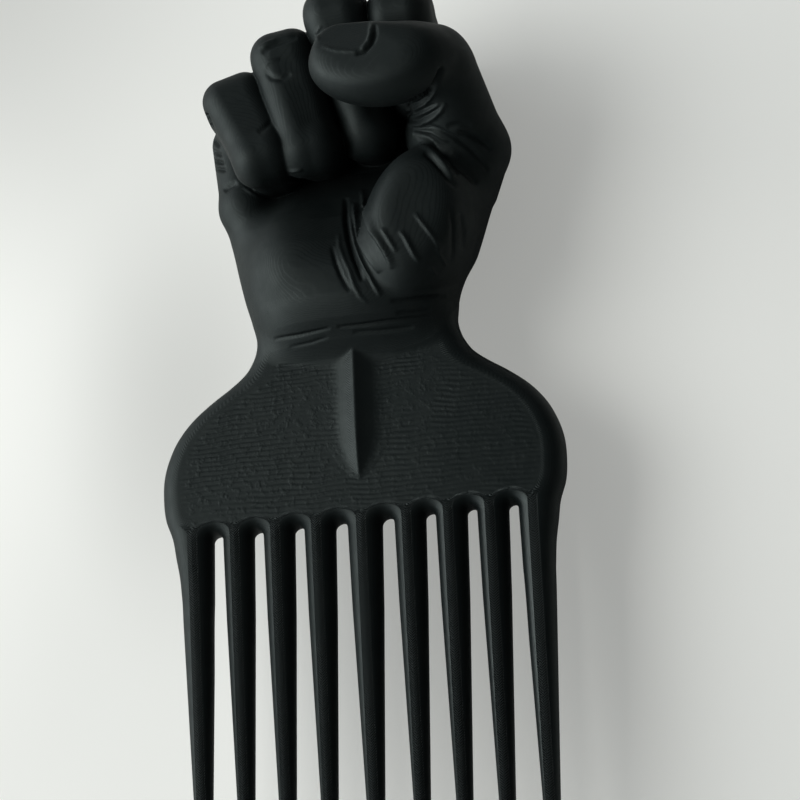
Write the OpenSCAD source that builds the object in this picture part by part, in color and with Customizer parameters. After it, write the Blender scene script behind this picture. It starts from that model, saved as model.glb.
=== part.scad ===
// Afro pick with a raised-fist handle, printed in one black plastic.
// Millimetres. X runs across the comb, Y runs from the tooth tips to the knuckles,
// Z rises from the back face of the blade towards the palm side.
// The origin is in the middle of the blade's flat back face, on the middle tooth's axis.
// The comb, the wrist and the palm's body are lofts: rings of points worked out by functions and
// skinned. Fingers and thumb are hulls between rounded joints, and the mounds are eggs.

/* [Blade] */
// width of the comb over its shoulders
blade_width = 82.6; // [74:0.2:92]
// thickness of the flat blade; its edges are fully round
blade_thick = 8; // [6:0.5:10]
// distance from the gap tops up to where the hand begins
shoulder_rise = 44; // [38:1:52]

/* [Teeth] */
// distance from the gap tops to the tooth tips
tooth_length = 88; // [60:1:110]
// width of a tooth at its root
tooth_root = 6.8; // [6.4:0.1:7.2]
// width of a tooth just above its rounded tip
tooth_tip = 1.6; // [1.2:0.1:2.4]
// depth of a tooth just above its rounded tip
tooth_tip_deep = 2.4; // [1.6:0.1:3.2]
// height of the scoops that run up from the gaps into the blade
scoop_rise = 7; // [4:0.5:8]

/* [Rib] */
// width of the stiffening rib where it stands on the blade
rib_width = 9.4; // [7:0.2:12]
// height of the rib's crest above the blade
rib_rise = 6; // [3:0.25:7]
// distance from the gap tops to the rib's lower nose
rib_start = 7.6; // [6:0.2:14]

/* [Fist] */
// width of the fist from the little finger to the thumb's knuckle
fist_width = 65; // [58:1:74]
// height of the fist from the wrist crease to the middle knuckle
fist_height = 66; // [58:1:76]
// depth of the fist from the back of the hand to the thumb
fist_depth = 48; // [42:1:54]
// depth of the wrist where the hand begins
wrist_deep = 24.5; // [20:0.5:28]

/* [Hidden] */
print_black = [0.035, 0.037, 0.036];

half_blade = blade_width / 2;
half_thick = blade_thick / 2;
// the origin lies this share of the shoulder rise above the gap tops
origin_share = 0.43;
// tooth axes from the middle outwards, as shares of half the blade's width
axis_shares = [0, 0.223, 0.427, 0.63, 0.84];
// the outer teeth and the middle one are a little wider than the rest
wide_share = 1.1;
// the crest of a tooth is left flat over the rest of its width
crest_share = 0.94;
// how far down a tooth its outer flare and its rounded tip reach
flare_share = 0.12;
tip_share = 0.02;
// outline of the blade: height as a share of the rise, half width as a share of the whole
outline_shares = [
    [0, 0.959],
    [0.159, 0.998],
    [0.25, 0.999],
    [0.34, 0.982],
    [0.43, 0.941],
    [0.52, 0.872],
    [0.61, 0.768],
    [0.70, 0.636],
    [0.77, 0.555],
    [0.86, 0.503],
    [1, 0.487]
];
blade_row = 1;
wrist_row = 7;
last_row = 10;
// the share of the wrist's half width that is rounded
wrist_round = 0.98;

// joints are round on a hand of the usual build: its height and depth as shares of its width
usual_height = 1.015;
usual_depth = 0.738;

// hand tables: places are shares of the fist's width, height and depth
// palm rows: height, left, right, back, front; the wrist's own end comes before the first row
palm_shares = [
    [0.091, -0.325, 0.33, -0.283, 0.24],
    [0.182, -0.36, 0.36, -0.313, 0.206],
    [0.273, -0.397, 0.395, -0.335, 0.154],
    [0.364, -0.431, 0.437, -0.35, 0.078],
    [0.455, -0.452, 0.461, -0.358, 0.005],
    [0.576, -0.461, 0.446, -0.358, -0.03],
    [0.697, -0.449, 0.40, -0.346, -0.047],
    [0.765, -0.41, 0.36, -0.31, -0.075],
    [0.81, -0.35, 0.30, -0.255, -0.125]
];
// fingers: across, up, forward, half width, half depth, roll in degrees, from knuckle to tip;
// half sizes are shares of the fist's width
little_joints = [
    [-0.338, 0.636, -0.165, 0.082, 0.078, 0],
    [-0.337, 0.685, 0.171, 0.097, 0.086, 0],
    [-0.265, 0.464, 0.217, 0.091, 0.082, 12],
    [-0.246, 0.473, 0.021, 0.077, 0.074, 12]
];
ring_joints = [
    [-0.182, 0.727, -0.208, 0.086, 0.083, 0],
    [-0.163, 0.788, 0.263, 0.092, 0.086, 4],
    [-0.075, 0.479, 0.30, 0.085, 0.082, 30],
    [-0.068, 0.5, 0.083, 0.072, 0.074, 30]
];
middle_joints = [
    [0.023, 0.803, -0.219, 0.089, 0.086, 0],
    [0.029, 0.906, 0.271, 0.091, 0.091, 4],
    [0.092, 0.538, 0.167, 0.083, 0.083, 40],
    [0.086, 0.553, -0.021, 0.077, 0.074, 40]
];
index_joints = [
    [0.225, 0.788, -0.198, 0.091, 0.086, 0],
    [0.225, 0.894, 0.229, 0.095, 0.091, 0],
    [0.24, 0.667, 0.104, 0.088, 0.083, 18],
    [0.233, 0.65, -0.06, 0.078, 0.075, 18]
];
// the two outer fingers lean over, in degrees
little_lean = 14.6;
ring_lean = 5.7;
// rounding of a finger's long edges, as a share of the fist's width
finger_edge = 0.048;
// the folded flesh inside a finger starts at this share of its first bone and is this slim
flesh_start = 0.55;
flesh_slim = 0.88;

// round joints: across, up, forward, radius as a share of the fist's width
thumb_root_joints = [
    [0.269, 0.212, -0.063, 0.115],
    [0.391, 0.473, 0.042, 0.12],
    [0.348, 0.652, 0.302, 0.117]
];
thumb_end_joints = [
    [0.348, 0.682, 0.354, 0.104],
    [0.065, 0.706, 0.471, 0.092]
];
outer_edge_joints = [
    [-0.238, 0.121, 0, 0.092],
    [-0.345, 0.379, 0.01, 0.084],
    [-0.375, 0.606, -0.031, 0.082]
];
// mounds: across, up, forward, then the half sizes as shares of width, height and depth
heel_egg = [-0.177, 0.121, 0, 0.168, 0.21, 0.258];
web_egg = [0.326, 0.53, 0.052, 0.14, 0.123, 0.185];
thenar_egg = [0.225, 0.217, 0.081, 0.18, 0.268, 0.318];
pulp_egg = [0.182, 0.652, 0.475, 0.218, 0.137, 0.171];
thumb_joint_egg = [0.302, 0.715, 0.45, 0.074, 0.061, 0.096];
knuckle_eggs = [
    [-0.362, 0.667, -0.229, 0.089, 0.097, 0.115],
    [-0.177, 0.75, -0.24, 0.098, 0.105, 0.127],
    [0.023, 0.818, -0.246, 0.105, 0.112, 0.135],
    [0.231, 0.795, -0.229, 0.105, 0.112, 0.135]
];
heel_turn = [4, 0, 10];
thenar_turn = [6, 4, -17];
pulp_turn = [0, 0, -6];
thumb_joint_turn = [0, 0, -20];
straight = [0, 0, 0];
// flat faces: a point of each and its tilt in degrees
mound_flat = [0.2, 0.258, 0.35];
mound_tilt = [2.3, 8, 0];
pulp_flat = [0.154, 0.667, 0.596];
pulp_tilt = [-5.8, -3.4, 0];
// the nail's lower corner beside its root
nail_corner = [0.169, 0.679, 0.6];
nail_tilt = [-22.4, -3.4, 0];
// side of the blocks that cut the flat faces, as a share of the fist's width
cut_size = 1;

// counts of rings and of points round a ring
steps = 3;
quarter = 4;
round_points = 18;
edge_points = 3;
joint_points = 16;
mound_points = 14;
// step along a table's rows over which a curve's direction is measured
nudge = 0.05;

// Helpers: blends, splines and rings

function blend(a, b, t) = a + (b - a) * t;
function ease(t) = t * t * (3 - 2 * t);
function clip(t) = max(0, min(1, t));
function side_of(c) = c < 0 ? -1 : 1;
function row(list, i) = list[max(0, min(len(list) - 1, i))];

// smooth curve through the rows of a table, at row number u
function between(a, b, c, d, t) =
    b + (c - a) * t / 2
    + (2 * a - 5 * b + 4 * c - d) * t * t / 2
    + (3 * b - a - 3 * c + d) * t * t * t / 2;
function along(list, u) =
    let (i = min(floor(u), len(list) - 2))
    between(row(list, i - 1), row(list, i), row(list, i + 1), row(list, i + 2), u - i);

// skins a stack of rings that all have the same number of points, with a hub at each end
function total(list, i = 0) = i == len(list) - 1 ? list[i] : list[i] + total(list, i + 1);
module loft(rings) {
    n = len(rings[0]);
    m = len(rings);
    hubs = [total(rings[0]) / n, total(rings[m - 1]) / n];
    points = concat([for (ring = rings) for (p = ring) p], hubs);
    sides = [for (i = [0 : m - 2]) for (j = [0 : n - 1])
        let (k = (j + 1) % n)
        each [[i * n + j, i * n + k, (i + 1) * n + k], [i * n + j, (i + 1) * n + k, (i + 1) * n + j]]];
    ends = [for (j = [0 : n - 1]) let (k = (j + 1) % n)
        each [[m * n, k, j], [m * n + 1, (m - 1) * n + j, (m - 1) * n + k]]];
    polyhedron(points = points, faces = concat(sides, ends), convexity = 6);
}

// cross-section at height y: half widths each way, how much of each is rounded, half depth
function slab_ring(y, middle, left, right, round_left, round_right, deep) = concat(
    [for (i = [-quarter : quarter]) let (a = 90 * i / quarter)
        [middle + right - round_right + round_right * cos(a), y, half_thick + deep * sin(a)]],
    [for (i = [-quarter : quarter]) let (a = 180 + 90 * i / quarter)
        [middle - left + round_left + round_left * cos(a), y, half_thick + deep * sin(a)]]);

// Blade and wrist

function outline_y(u) = shoulder_rise * along(outline_shares, u)[0];
function outline_x(u) = half_blade * along(outline_shares, u)[1];
function outline_slope(u) =
    (outline_x(u + nudge) - outline_x(u - nudge)) / (outline_y(u + nudge) - outline_y(u - nudge));
// where the outline runs across the blade, the round edge reaches further in
function edge_round(u) =
    half_thick * sqrt(1 + pow(min(2, abs(outline_slope(min(u, last_row - 1)))), 2));

module blade_solid() {
    loft([for (i = [blade_row * steps : wrist_row * steps])
        let (u = i / steps, x = outline_x(u), r = edge_round(u))
        slab_ring(outline_y(u), 0, x, x, r, r, half_thick)]);
}

module wrist_solid() {
    loft([for (i = [wrist_row * steps : last_row * steps])
        let (u = i / steps,
            t = (u - wrist_row) / (last_row - wrist_row),
            x = outline_x(u),
            r = blend(min(edge_round(u), x), x * wrist_round, ease(clip(t * 2))),
            deep = blend(half_thick, wrist_deep / 2, ease(t)))
        slab_ring(outline_y(u), 0, x, x, r, r, deep)]);
}

// Rib

rib_points = 6;
rib_power = 1.5;
function rib_ring(y, half, rise) = concat(
    [for (i = [-rib_points : rib_points]) let (s = -i / rib_points)
        [s * half, y, blade_thick + rise * (1 - pow(abs(s), rib_power))]],
    [[0, y, blade_thick]]);

module rib_solid() {
    nose = rib_width;
    top = shoulder_rise * outline_shares[wrist_row + 2][0];
    loft(concat(
        [for (i = [1 : steps * 2]) let (a = 90 * i / (steps * 2))
            rib_ring(rib_start + nose * (1 - cos(a)), rib_width / 2 * sin(a), rib_rise * sin(a))],
        [rib_ring(top, rib_width / 2, rib_rise)]));
}

// Teeth

function tooth_wide(k) = k == 0 || k == 4 ? tooth_root * wide_share : tooth_root;
function tooth_axis(k) = half_blade * axis_shares[k];
// half the pitch from tooth k towards the next one out or in
function half_pitch(k, out) =
    out ? (tooth_axis(k + 1) - tooth_axis(k)) / 2
        : (k == 0 ? half_pitch(0, true) : (tooth_axis(k) - tooth_axis(k - 1)) / 2);
// straight taper of a tooth at y, which is negative below the gap tops
function taper(k, y) = blend(tooth_wide(k), tooth_tip, clip(-y / tooth_length)) / 2;
// half width on a side that faces a gap: taper, round gap top, then shared with the neighbour
function gap_side(k, y, out) =
    let (pitch = half_pitch(k, out), r = pitch - tooth_wide(k) / 2)
    y >= 0 ? pitch
    : y > -r ? max(taper(k, y), pitch - sqrt(r * r - (y + r) * (y + r)))
    : taper(k, y);
// half width on the free side of an outer tooth: taper and flare, then the blade's outline
function free_side(k, y) =
    y >= 0 ? outline_x(clip(y / scoop_rise)) - tooth_axis(k)
    : taper(k, y) + (outline_x(0) - tooth_axis(k) - tooth_wide(k) / 2)
        * pow(1 - clip(-y / (tooth_length * flare_share)), 2);
function tip_round(y) =
    let (t = clip(1 - (y + tooth_length) / (tooth_length * tip_share)))
    sqrt(1 - t * t);

tooth_rows = concat(
    [for (i = [1 : 4]) tooth_length * (tip_share * (1 - cos(90 * i / 4)) - 1)],
    [for (s = [0.75, 0.5, 0.25]) -tooth_length * s],
    [for (i = [3 : -1 : 1]) -tooth_length * flare_share * i / 3],
    [for (i = [1 : 4]) -tooth_root * wide_share / 5 * (1 - sin(90 * i / 4))],
    [for (i = [1 : 4]) scoop_rise * i / 4]);

function tooth_ring(k, y) =
    let (cap = tip_round(y),
        inner = gap_side(k, y, false) * cap,
        outer = (k == 4 ? free_side(k, y) : gap_side(k, y, true)) * cap,
        deep = blend(half_thick, tooth_tip_deep / 2, clip(-y / tooth_length)) * cap,
        open = ease(clip(y / scoop_rise)),
        round_inner = inner * crest_share * (1 - open),
        round_outer = k == 4 ? blend(outer * crest_share, half_thick, open)
            : outer * crest_share * (1 - open))
    slab_ring(y, tooth_axis(k), inner, outer, round_inner, round_outer, deep);

// teeth are numbered from the little finger's side; the middle one is number five
module tooth_solid(number) {
    k = abs(number - 5);
    mirror([number < 5 ? 1 : 0, 0, 0])
        loft([for (y = tooth_rows) tooth_ring(k, y)]);
}

// Hand

palm_square = 0.86;
// the palm's first ring is the wrist's last one
palm_rows = concat(
    [[0, -outline_x(last_row) / fist_width, outline_x(last_row) / fist_width,
        -wrist_deep / 2 / fist_depth, wrist_deep / 2 / fist_depth]],
    palm_shares);
function hand_at(s) = [s[0] * fist_width,
    shoulder_rise + s[1] * fist_height,
    half_thick + s[2] * fist_depth];
function palm_ring(s) =
    let (y = shoulder_rise + s[0] * fist_height,
        cx = (s[1] + s[2]) / 2 * fist_width,
        cz = half_thick + (s[3] + s[4]) / 2 * fist_depth,
        wide = (s[2] - s[1]) / 2 * fist_width,
        deep = (s[4] - s[3]) / 2 * fist_depth,
        power = blend(1, palm_square, clip(s[0] / palm_shares[1][0])))
    [for (j = [0 : round_points - 1]) let (a = 360 * j / round_points)
        [cx + wide * side_of(cos(a)) * pow(abs(cos(a)), power), y,
            cz + deep * side_of(sin(a)) * pow(abs(sin(a)), power)]];

// The usual hand is drawn with its width as one, then scaled to the fist's own size.
function usual_at(s) = [s[0], s[1] * usual_height, s[2] * usual_depth];
module hand_scaled() {
    translate(hand_at([0, 0, 0]))
        scale([fist_width, fist_height / usual_height, fist_depth / usual_depth]) children();
}

// half profile of a finger's joint: flat sides and a rounded rim
function joint_profile(half, deep, edge) = concat(
    [[0, -half]],
    [for (i = [0 : edge_points]) let (a = 90 * i / edge_points)
        [deep - edge + edge * sin(a), -half + edge - edge * cos(a)]],
    [for (i = [edge_points : -1 : 0]) let (a = 90 * i / edge_points)
        [deep - edge + edge * sin(a), half - edge + edge * cos(a)]],
    [[0, half]]);

// the same joint with a smaller half width
function slim(s) = [s[0], s[1], s[2], s[3] * flesh_slim, s[4] * flesh_slim, s[5]];
module finger_joint(s, lean) {
    translate(usual_at(s)) rotate([0, 90 + s[5], lean])
        rotate_extrude($fn = joint_points)
            polygon(joint_profile(s[3], s[4], finger_edge));
}

// a curled finger: each of its bones spans two joints
module finger(joints, lean) {
    for (i = [1 : len(joints) - 1]) hull() {
        finger_joint(joints[i - 1], lean);
        finger_joint(joints[i], lean);
    }
    hull() {
        finger_joint(slim(blend(joints[0], joints[1], flesh_start)), lean);
        finger_joint(slim(joints[2]), lean);
    }
}

// round bones through a list of joints
module bones(joints) {
    for (i = [1 : len(joints) - 1]) hull()
        for (s = [joints[i - 1], joints[i]])
            translate(usual_at(s)) sphere(s[3], $fn = mound_points);
}

module egg(s, turn, points = round_points) {
    translate(usual_at(s)) rotate(turn)
        scale([s[3], s[4] * usual_height, s[5] * usual_depth])
            sphere(1, $fn = points);
}

// what lies in front of a tilted flat face
module before(place, tilt) {
    translate(usual_at(place)) rotate(tilt)
        translate([-cut_size, -cut_size, 0]) cube([cut_size * 2, cut_size * 2, cut_size]);
}

module nail_cut() {
    translate(usual_at(nail_corner)) rotate(nail_tilt)
        translate([-cut_size, 0, 0]) cube(cut_size);
}

module palm_solid() {
    n = (len(palm_rows) - 1) * 2;
    loft([for (i = [0 : n]) palm_ring(along(palm_rows, i / 2))]);
    hand_scaled() {
        egg(heel_egg, heel_turn);
        egg(web_egg, straight, mound_points);
        bones(outer_edge_joints);
        for (s = knuckle_eggs) egg(s, straight, mound_points);
    }
}

module thenar_solid() {
    hand_scaled() difference() {
        egg(thenar_egg, thenar_turn);
        before(mound_flat, mound_tilt);
    }
}

module thumb_solid() {
    hand_scaled() {
        bones(thumb_root_joints);
        difference() {
            union() {
                bones(thumb_end_joints);
                egg(pulp_egg, pulp_turn);
                egg(thumb_joint_egg, thumb_joint_turn);
            }
            before(pulp_flat, pulp_tilt);
            nail_cut();
        }
    }
}

module index_solid() {
    hand_scaled() finger(index_joints, 0);
}

module middle_solid() {
    hand_scaled() finger(middle_joints, 0);
}

module ring_solid() {
    hand_scaled() finger(ring_joints, ring_lean);
}

module little_solid() {
    hand_scaled() finger(little_joints, little_lean);
}

// The named pieces

// moves a piece from the gap tops' line to the origin in the blade's middle
module placed() {
    translate([0, -shoulder_rise * origin_share, 0]) children();
}

module blade() {
    color(print_black) placed() blade_solid();
}

module rib() {
    color(print_black) placed() difference() {
        rib_solid();
        wrist_solid();
    }
}

module wrist() {
    color(print_black) placed() wrist_solid();
}

module palm() {
    color(print_black) placed() difference() {
        palm_solid();
        wrist_solid();
    }
}

module thenar() {
    color(print_black) placed() difference() {
        thenar_solid();
        palm_solid();
        wrist_solid();
    }
}

module thumb() {
    color(print_black) placed() difference() {
        thumb_solid();
        palm_solid();
        thenar_solid();
    }
}

module index_finger() {
    color(print_black) placed() difference() {
        index_solid();
        palm_solid();
        thumb_solid();
    }
}

module middle_finger() {
    color(print_black) placed() difference() {
        middle_solid();
        palm_solid();
        thumb_solid();
        index_solid();
    }
}

module ring_finger() {
    color(print_black) placed() difference() {
        ring_solid();
        palm_solid();
        thumb_solid();
        middle_solid();
    }
}

module little_finger() {
    color(print_black) placed() difference() {
        little_solid();
        palm_solid();
        ring_solid();
    }
}

module tooth_1() {
    color(print_black) placed() tooth_solid(1);
}

module tooth_2() {
    color(print_black) placed() tooth_solid(2);
}

module tooth_3() {
    color(print_black) placed() tooth_solid(3);
}

module tooth_4() {
    color(print_black) placed() tooth_solid(4);
}

module tooth_5() {
    color(print_black) placed() tooth_solid(5);
}

module tooth_6() {
    color(print_black) placed() tooth_solid(6);
}

module tooth_7() {
    color(print_black) placed() tooth_solid(7);
}

module tooth_8() {
    color(print_black) placed() tooth_solid(8);
}

module tooth_9() {
    color(print_black) placed() tooth_solid(9);
}

blade();
rib();
wrist();
palm();
thenar();
thumb();
index_finger();
middle_finger();
ring_finger();
little_finger();
tooth_1();
tooth_2();
tooth_3();
tooth_4();
tooth_5();
tooth_6();
tooth_7();
tooth_8();
tooth_9();
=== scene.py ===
"""Looks of the afro pick: one black print, a raised fist on a comb with nine teeth.

The fist, the wrist and the blade are one sculpted surface. Each form is a distance field in
millimetres, the fields are joined softly, and the zero level is meshed, pressed onto the field,
creased along drawn folds and cut into the pieces that stand for the CAD nodes.
Inside the sculpt, z is measured from the blade's middle plane and y from the tops of the gaps.
"""
import math

import bpy
import numpy as np
from mathutils import Matrix, Vector


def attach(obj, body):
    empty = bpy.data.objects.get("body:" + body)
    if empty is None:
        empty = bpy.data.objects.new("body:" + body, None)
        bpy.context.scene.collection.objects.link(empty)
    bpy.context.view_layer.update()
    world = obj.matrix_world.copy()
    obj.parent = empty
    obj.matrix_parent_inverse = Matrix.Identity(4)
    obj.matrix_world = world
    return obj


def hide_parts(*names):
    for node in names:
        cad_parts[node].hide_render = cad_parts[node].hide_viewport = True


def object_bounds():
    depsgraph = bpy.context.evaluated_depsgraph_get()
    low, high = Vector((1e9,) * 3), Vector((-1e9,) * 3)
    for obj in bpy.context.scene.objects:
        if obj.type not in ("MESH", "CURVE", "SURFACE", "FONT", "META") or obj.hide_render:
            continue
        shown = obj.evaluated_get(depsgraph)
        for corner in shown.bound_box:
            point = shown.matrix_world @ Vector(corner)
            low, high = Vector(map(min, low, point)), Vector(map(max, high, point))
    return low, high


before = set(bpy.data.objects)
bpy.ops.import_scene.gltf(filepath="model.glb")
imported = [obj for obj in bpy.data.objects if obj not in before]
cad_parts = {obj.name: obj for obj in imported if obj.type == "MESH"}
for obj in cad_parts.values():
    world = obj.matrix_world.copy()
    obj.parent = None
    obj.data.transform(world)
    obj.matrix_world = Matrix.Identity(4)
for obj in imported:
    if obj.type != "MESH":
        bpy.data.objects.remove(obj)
cad_low, cad_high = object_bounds()

# from the sculpt's millimetres to the row frame's metres
GAP_TOP_Y = -18.92
BLADE_MIDDLE_Z = 4.0
MM = 0.001

# the photograph's frame and the camera that fits it, in pixels, millimetres and degrees
FRAME_PIXELS = 800
CAMERA_DISTANCE = 800.0
CAMERA_TURN = (-19.2, -12.2, 6.6)
CAMERA_AIM = (8.1, 24.3, 0.0)
PIXELS_PER_MM = 5.0


def turn_matrix(x_degrees, y_degrees, z_degrees):
    x, y, z = (math.radians(a) for a in (x_degrees, y_degrees, z_degrees))
    about_x = np.array([[1, 0, 0], [0, math.cos(x), -math.sin(x)], [0, math.sin(x), math.cos(x)]])
    about_y = np.array([[math.cos(y), 0, math.sin(y)], [0, 1, 0], [-math.sin(y), 0, math.cos(y)]])
    about_z = np.array([[math.cos(z), -math.sin(z), 0], [math.sin(z), math.cos(z), 0], [0, 0, 1]])
    return about_z @ about_y @ about_x


CAMERA_ROWS = turn_matrix(*CAMERA_TURN)


def seen_at(points):
    """Pixel column, pixel row and nearness of points, as the camera sees them."""
    q = (points - np.array(CAMERA_AIM)) @ CAMERA_ROWS.T
    scale = PIXELS_PER_MM * CAMERA_DISTANCE / (CAMERA_DISTANCE - q[:, 2])
    middle = FRAME_PIXELS / 2
    return middle + scale * q[:, 0], middle - scale * q[:, 1], q[:, 2]


# Distance fields.


def smooth_min(a, b, k):
    h = np.clip(0.5 + 0.5 * (b - a) / k, 0, 1)
    return b + (a - b) * h - k * h * (1 - h)


def smooth_max(a, b, k):
    return -smooth_min(-a, -b, k)


def joined(fields, k):
    """Fields joined softly, one after the other."""
    total = None
    for field in fields:
        total = field if total is None else smooth_min(total, field, k)
    return total


def dot(a, b):
    return a[0] * b[0] + a[1] * b[1] + a[2] * b[2]


def along(p, a, b):
    """Share of the way from a to b, what is left of p beside it, and the way itself."""
    a = np.array(a, np.float32)
    run = np.array(b, np.float32) - a
    q = [p[i] - a[i] for i in range(3)]
    t = np.clip(dot(q, run) / float(run @ run), 0, 1)
    return t, [q[i] - t * run[i] for i in range(3)], run


def squared(side, run):
    """The part of a sideways direction that is square to the way, with unit length."""
    share = dot(side, run) / float(run @ run)
    side = [side[i] - share * run[i] for i in range(3)]
    length = np.sqrt(dot(side, side))
    return [c / length for c in side]


def limb(p, a, b, radii, widening=(0.0, 0.0), lateral=(1, 0, 0)):
    """A tapered round limb from a to b, widened sideways."""
    t, q, run = along(p, a, b)
    side = squared(lateral, run)
    across = dot(q, side)
    extra = widening[0] + (widening[1] - widening[0]) * t
    shift = np.clip(across, -extra, extra)
    q = [q[i] - shift * side[i] for i in range(3)]
    return np.sqrt(dot(q, q)) - (radii[0] + (radii[1] - radii[0]) * t)


def chain(p, joints, k):
    """Limbs from joint to joint. Each joint holds its place and its radius."""
    return joined((limb(p, a, b, (ra, rb)) for (a, ra), (b, rb) in zip(joints, joints[1:])), k)


def bar(p, a, b, radii, widths, edge, laterals):
    """A limb with flat sides: round seen from the side, with rounded edges, rolled as it goes."""
    t, q, run = along(p, a, b)
    side = squared([laterals[0][i] + (laterals[1][i] - laterals[0][i]) * t for i in range(3)], run)
    across = dot(q, side)
    radial = np.sqrt(np.maximum(dot(q, q) - across * across, 0))
    u = radial - (radii[0] + (radii[1] - radii[0]) * t) + edge
    w = np.abs(across) - (widths[0] + (widths[1] - widths[0]) * t) + edge
    outside = np.sqrt(np.maximum(u, 0) ** 2 + np.maximum(w, 0) ** 2)
    return outside - edge + np.minimum(np.maximum(u, w), 0)


def egg(p, centre, half, turn=(0.0, 0.0, 0.0)):
    """An ellipsoid, turned about x, y and z in degrees."""
    q = [p[i] - centre[i] for i in range(3)]
    if any(turn):
        rows = turn_matrix(*turn).T.astype(np.float32)
        q = [dot(q, rows[i]) for i in range(3)]
    k0 = np.sqrt(sum((q[i] / half[i]) ** 2 for i in range(3)))
    k1 = np.sqrt(sum((q[i] / half[i] ** 2) ** 2 for i in range(3))) + 1e-6
    return k0 * (k0 - 1) / k1


def column(p, rows, cap):
    """A body along y, through sections, with rounded ends."""
    rows = np.array(rows, np.float32)
    y = np.clip(p[1], rows[0, 0], rows[-1, 0])
    left, right, back, front, n = (
        np.interp(y, rows[:, 0], rows[:, i]).astype(np.float32) for i in range(1, 6)
    )
    dx = p[0] - (left + right) / 2
    dz = p[2] - (back + front) / 2
    g = np.abs(dx / ((right - left) / 2)) ** n + np.abs(dz / ((front - back) / 2)) ** n
    g = np.maximum(g, 1e-9) ** (1 / n)
    flat = np.sqrt(dx * dx + dz * dz) * (1 - 1 / np.maximum(g, 1e-3))
    over = np.maximum(np.maximum(p[1] - rows[-1, 0], rows[0, 0] - p[1]), 0)
    inside = np.maximum(flat + cap, 0)
    return np.where(over > 0, np.sqrt(inside ** 2 + over ** 2) - cap, flat)


# The comb.

HALF_WIDTH = 41.3
# height above the gap tops and half width of the blade
BLADE_OUTLINE = np.array([
    (-30, 37.43), (-12, 38.03), (-8, 38.35), (-4, 38.99), (0, 39.61), (4, 40.89), (8.5, 41.3),
    (13, 41.01), (17, 39.81), (21, 37.71), (25, 34.2), (28, 30.36), (30.7, 26.35), (32.5, 24.08),
    (35.4, 21.77), (40, 20.11), (46, 20.11),
], np.float32)
TOOTH_AXES = np.array([0, 0.223, 0.427, 0.63, 0.84]) * HALF_WIDTH
TOOTH_ROOTS = np.array([7.48, 6.8, 6.8, 6.8, 7.48])
TOOTH_TIP = 1.6
# a tooth is this much slimmer at the gap tops, fading out down to this depth
ROOT_SLIM = 0.45
SLIM_END = 18.0
TOOTH_LENGTH = 88.0
# how much faster the edge falls away above a gap than beside it
GAP_TOP_STEEPER = 0.7
# the outline is rounded with the first radius, which shrinks below this depth to the second
EDGE_RADIUS = 4.0
SHRINK_START = 4.0
TIP_RADIUS = 1.2
# over a gap, lengths along the outline are counted on an arc of this radius
ARC_RADIUS = EDGE_RADIUS * 1.6
SLOPE_STEP = 0.5
PLATE_TOP = 47
# the teeth's pieces begin below this height, and below the second each is a plain loft, which
# reaches a little way up into the sculpted root
TOOTH_TOP = 2.0
LOFT_TOP = -6.0
LOFT_OVERLAP = 0.4
# the outer teeth flare towards the shoulders above this height
FLARE_END = -30.0


def half_width_at(y):
    """The outline's half width, on smooth curves between its points."""
    xs, ys = BLADE_OUTLINE[:, 0], BLADE_OUTLINE[:, 1]
    slopes = np.gradient(ys, xs)
    i = np.clip(np.searchsorted(xs, y) - 1, 0, len(xs) - 2)
    h = xs[i + 1] - xs[i]
    t = np.clip((y - xs[i]) / h, 0, 1)
    return (
        (2 * t ** 3 - 3 * t ** 2 + 1) * ys[i]
        + (t ** 3 - 2 * t ** 2 + t) * h * slopes[i]
        + (-2 * t ** 3 + 3 * t ** 2) * ys[i + 1]
        + (t ** 3 - t ** 2) * h * slopes[i + 1]
    )


def tooth_half(k, y):
    taper = TOOTH_ROOTS[k] + (TOOTH_TIP - TOOTH_ROOTS[k]) * np.clip(-y / TOOTH_LENGTH, 0, 1)
    return (taper - ROOT_SLIM * (1 - np.clip(-y / SLIM_END, 0, 1))) / 2


def edge_radius_at(y):
    down = np.clip(-(y + SHRINK_START) / (TOOTH_LENGTH - SHRINK_START), 0, 1)
    return EDGE_RADIUS + (TIP_RADIUS - EDGE_RADIUS) * down


def comb_depth(x, y):
    """How far inside the comb's outline a point is, and a coordinate that runs along it."""
    w = half_width_at(y)
    slope = (half_width_at(y + SLOPE_STEP) - w) / SLOPE_STEP
    depth = (w - np.abs(x)) / np.sqrt(1 + slope ** 2)
    run = y.copy()
    side = np.abs(x)
    for k in range(len(TOOTH_AXES) - 1):
        a, b = TOOTH_AXES[k], TOOTH_AXES[k + 1]
        low = a + tooth_half(k, y)
        high = b - tooth_half(k + 1, y)
        middle = (a + tooth_half(k, 0) + b - tooth_half(k + 1, 0)) / 2
        radius = (b - a) / 2 - (tooth_half(k, 0) + tooth_half(k + 1, 0)) / 2
        out = np.hypot(side - middle, y + radius)
        lift = np.clip((y + radius) / (out + 1e-6), 0, 1)
        top = (out - radius) * (1 + GAP_TOP_STEEPER * lift)
        beside = np.abs(side - (low + high) / 2) - (high - low) / 2
        here = np.where(y > -radius, top, beside)
        angle = np.arctan2(y + radius, np.abs(side - middle) + 1e-6)
        run = np.where((here < depth) & (y > -radius), -radius + ARC_RADIUS * angle, run)
        depth = np.minimum(depth, here)
    return depth, run


def plate(p):
    x, y, z = p
    depth, _ = comb_depth(x, y)
    depth = np.minimum(depth, PLATE_TOP - y)
    r = edge_radius_at(y)
    return np.sqrt(np.maximum(r - depth, 0) ** 2 + z * z) - r


# the rib's middle line, half width, height, lower end, length of its ramp and upper end
RIB_X = 0.1
RIB_HALF = 5.8
RIB_RISE = 2.0
RIB_NOSE = 7.6
RIB_RAMP = 11.7
RIB_TOP = 41
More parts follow.
